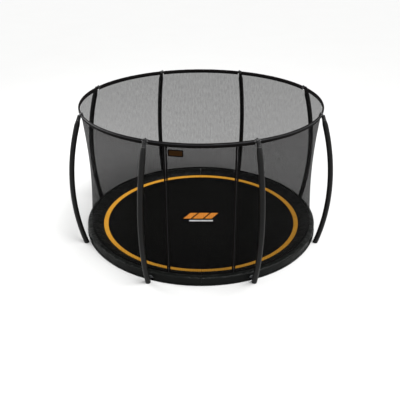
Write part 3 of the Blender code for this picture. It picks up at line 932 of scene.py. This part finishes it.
def make_net(name, start, end):
    """A panel of netting with slack upright folds and its hem at the pad."""
    columns = max(round((end - start) / math.radians(1.0)), 12)
    shares = spread(0, 1.003, 26)
    rows = []
    for share in shares:
        row = []
        for azimuth in spread(start, end, columns):
            edge = min(azimuth - start, end - azimuth) / 0.05
            slack = math.sin(math.pi * min(share, 1)) ** 0.6 * ease(edge)
            fold = 0.0045 * ripple(azimuth * 11, share * 1.1, 2.0)
            fold += 0.0020 * ripple(azimuth * 33, share * 0.9, 7.0)
            row.append(net_point(azimuth, share, slack * fold))
        rows.append(row)
    shape = Shape()
    shape.grid(rows)
    sheet = shape.object(f"net_sheet_{name}", NETTING)
    fit(sheet, "frame", "netting", f"net_{name}")
    hem = make_hem(name, start, end)


def make_hem(name, start, end):
    """The doubled band along the net's lower edge."""
    outer = [(0, 0.0014), (0.006, 0.0020), (0.012, 0.0014)]
    section = outer + [(share, -out) for share, out in reversed(outer)]
    columns = max(round((end - start) / math.radians(1.5)), 10)
    azimuths = spread(start, end, columns)
    shape = Shape()
    rows = [[net_point(azimuth, share, out) for share, out in section] for azimuth in azimuths]
    shape.grid(rows, around=True, caps=True)
    return fit(shape.object(f"net_hem_{name}", WEBBING), "frame", "webbing")


def make_casing(number):
    """The sewn tunnel that the hoop runs through, gathered a little towards the caps at its ends."""
    start = FIRST_POLE + number * POLE_STEP + CASING_GAP / HOOP_R
    end = FIRST_POLE + (number + 1) * POLE_STEP - CASING_GAP / HOOP_R
    rows = []
    for step, azimuth in enumerate(spread(start, end, 90)):
        share = step / 90
        near_end = min(share, 1 - share) * (end - start) * HOOP_R
        gather = 1 + 0.07 * math.exp(-near_end / 0.05) * math.sin(step * 2.1)
        row = []
        for turn in spread(0, TURN, 18)[:-1]:
            crease = 1 + 0.05 * ripple(azimuth * 30, 2 * math.cos(turn), number)
            wide = 0.0140 * gather * crease * math.cos(turn)
            tall = 0.0315 * gather * crease * math.sin(turn)
            tuck = 0.45 + 0.55 * min(1, abs(turn - 1.5 * math.pi) / 0.9)
            row.append(polar(HOOP_R + wide * tuck - 0.002, azimuth, HOOP_Z - 0.012 + tall))
        rows.append(row)
    shape = Shape()
    shape.grid(rows, around=True, caps=True)
    return fit(shape.object(f"hoop_casing_{number + 1}", WEBBING), "frame", "webbing")


def make_zip(side_name, azimuth):
    """The zip's two tapes with the row of teeth between them."""
    half = ZIP_BAND_WIDTH / 2 + 0.003
    along = tangent_at(azimuth)
    out = polar(1, azimuth)
    shape = Shape()
    for side in (-1, 1):
        rows = []
        for share in spread(0, 1.003, 60):
            z = NET_BOTTOM_Z + share * (NET_TOP_Z - NET_BOTTOM_Z)
            sway = 0.0006 * ripple(share * 9, side, azimuth)
            row = []
            for aside, raised in ((0.0030, 0.0008), (0.0045, 0.0012), (half - 0.002, 0.0012), (half, 0.0006)):
                row.append((aside, raised + sway))
            outline = row + [(aside, sway - 0.0010) for aside, _ in reversed(row)]
            rows.append([side * aside * along + (NET_R + raised) * out + z * UP for aside, raised in outline])
        shape.grid(rows, around=True, caps=True)
    pitch = 0.0055
    count = int((NET_TOP_Z - NET_BOTTOM_Z) / pitch)
    for tooth in range(count):
        side = 1 if tooth % 2 else -1
        centre = side * 0.0008 * along + (NET_R + 0.0004) * out + (NET_BOTTOM_Z + (tooth + 0.5) * pitch) * UP
        shape.block(centre, (0.0058, 0.0022, 0.0034), along, out, finish=1)
    band = shape.object(f"zip_tape_{side_name}", WEBBING, CAP_PLASTIC)
    fit(band, "frame", "webbing", f"zip_band_{side_name}")


def make_slider(side_name, azimuth):
    """The zip's slider: a waisted body with a bridge, and a pull tab with a hole in it."""
    along = tangent_at(azimuth)
    out = polar(1, azimuth)
    face = NET_R + 0.0018
    base = face * out + SLIDER_Z * UP
    shape = Shape()
    rows = []
    for height, half, depth in (
        (-0.0120, 0.0048, 0.0030),
        (-0.0110, 0.0056, 0.0040),
        (-0.0040, 0.0058, 0.0044),
        (0.0060, 0.0070, 0.0044),
        (0.0150, 0.0080, 0.0042),
        (0.0190, 0.0074, 0.0034),
        (0.0200, 0.0062, 0.0026),
    ):
        outline = [(-half, 0), (half, 0), (half, depth * 0.7)]
        outline += [(half * 0.8, depth), (-half * 0.8, depth), (-half, depth * 0.7)]
        rows.append([base + x * along + y * out + height * UP for x, y in outline])
    shape.grid(rows, around=True, caps=True)
    bridge = [base + 0.0040 * out + height * UP + lift * out for height, lift in bridge_points()]
    shape.wire(bridge, 0.0013, sides=8)
    loop = [base + point for point in tab_outline(along, out)]
    shape.wire(loop, 0.0014, sides=8, closed=True)
    plate = []
    for height in spread(-0.0440, -0.0260, 6):
        half = 0.0043 - 0.0012 * abs((height + 0.035) / 0.009) ** 3
        corners = ((-half, 0.0035), (half, 0.0035), (half, 0.0049), (-half, 0.0049))
        plate.append([base + x * along + y * out + height * UP for x, y in corners])
    shape.grid(plate, around=True, caps=True)
    slider = shape.object(f"slider_{side_name}", ZIP_METAL)
    fit(slider, f"zip_{side_name}", "zip_metal", f"zip_slider_{side_name}")


def bridge_points():
    return [(-0.008 + 0.020 * t, 0.0034 * math.sin(math.pi * t)) for t in spread(0, 1, 8)]


def tab_outline(along, out):
    """The pull tab's wire frame, which hangs from the bridge."""
    points = []
    for turn in spread(0, TURN, 20)[:-1]:
        x = 0.0040 * math.copysign(abs(math.cos(turn)) ** 0.5, math.cos(turn))
        z = -0.0215 + 0.0195 * math.copysign(abs(math.sin(turn)) ** 0.6, math.sin(turn))
        points.append(x * along + 0.0046 * out + z * UP)
    return points


def make_label():
    """A blank sewn-on label, high on the door's netting beside the left zip: dim orange edged in black."""
    centre_azimuth = math.radians(-10.2)
    half_width, half_height, border = 0.098, 0.046, 0.014
    corner = 0.016
    centre_z = LAWN_Z + 1.905
    shape = Shape()

    def panel(half_w, half_h, out, thickness, finish):
        rows = []
        for raised in (0, thickness):
            row = []
            for corner_x, corner_z, first in ((1, 1, 0), (-1, 1, 1), (-1, -1, 2), (1, -1, 3)):
                for turn in spread(first * QUARTER, (first + 1) * QUARTER, 5):
                    x = corner_x * (half_w - corner) + corner * math.cos(turn)
                    z = corner_z * (half_h - corner) + corner * math.sin(turn)
                    row.append(polar(NET_R + out + raised, centre_azimuth + x / NET_R, centre_z + z))
            rows.append(row)
        shape.grid(rows, around=True, caps=True, finish=finish)

    panel(half_width, half_height, 0.0010, 0.0010, 0)
    panel(half_width - border, half_height - border, 0.0021, 0.0004, 1)
    fit(shape.object("blank_label", WEBBING, ORANGE_WEBBING), "frame", "webbing")


# Assembly


def build_poles():
    for number in range(POLE_COUNT):
        azimuth = FIRST_POLE + number * POLE_STEP
        make_pole(number + 1, azimuth)
        make_foam_sleeve(number + 1, azimuth)
        make_pole_cap(number + 1, azimuth)
        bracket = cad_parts[f"pole_bracket_{number + 1}"]
        for holder in bracket.material_slots:
            holder.material = BLACK_STEEL
    make_hoop()


def build_frame():
    for number in range(POLE_COUNT):
        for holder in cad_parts[f"frame_rail_{number + 1}"].material_slots:
            holder.material = GALVANISED_WITH_PAINTED_SHADE
    for number, side_name in enumerate(SIDE_NAMES):
        make_leg(side_name, number * QUARTER)


def build_net():
    half_band = ZIP_BAND_WIDTH / NET_R / 2
    casings = [make_casing(number) for number in range(POLE_COUNT)]
    corners = [ZIP_AZIMUTH + half_band, QUARTER, 2 * QUARTER, 3 * QUARTER, TURN - ZIP_AZIMUTH - half_band]
    shares = ((0,), (1, 2), (3, 4), (5, 6))
    for name, start, end, numbers in zip(QUARTER_NAMES, corners, corners[1:], shares):
        make_net(name, start, end)
    door_edge = ZIP_AZIMUTH - half_band
    make_net("door", -door_edge, door_edge)
    for side_name, azimuth in (("right", ZIP_AZIMUTH), ("left", -ZIP_AZIMUTH)):
        make_zip(side_name, azimuth)
        make_slider(side_name, azimuth)
    make_label()


add_camera()
add_lights()
add_floor()
build_frame()
build_poles()
make_mat()
make_springs()
for quarter_number, quarter_name in enumerate(QUARTER_NAMES):
    make_pad(quarter_number, quarter_name)
build_net()
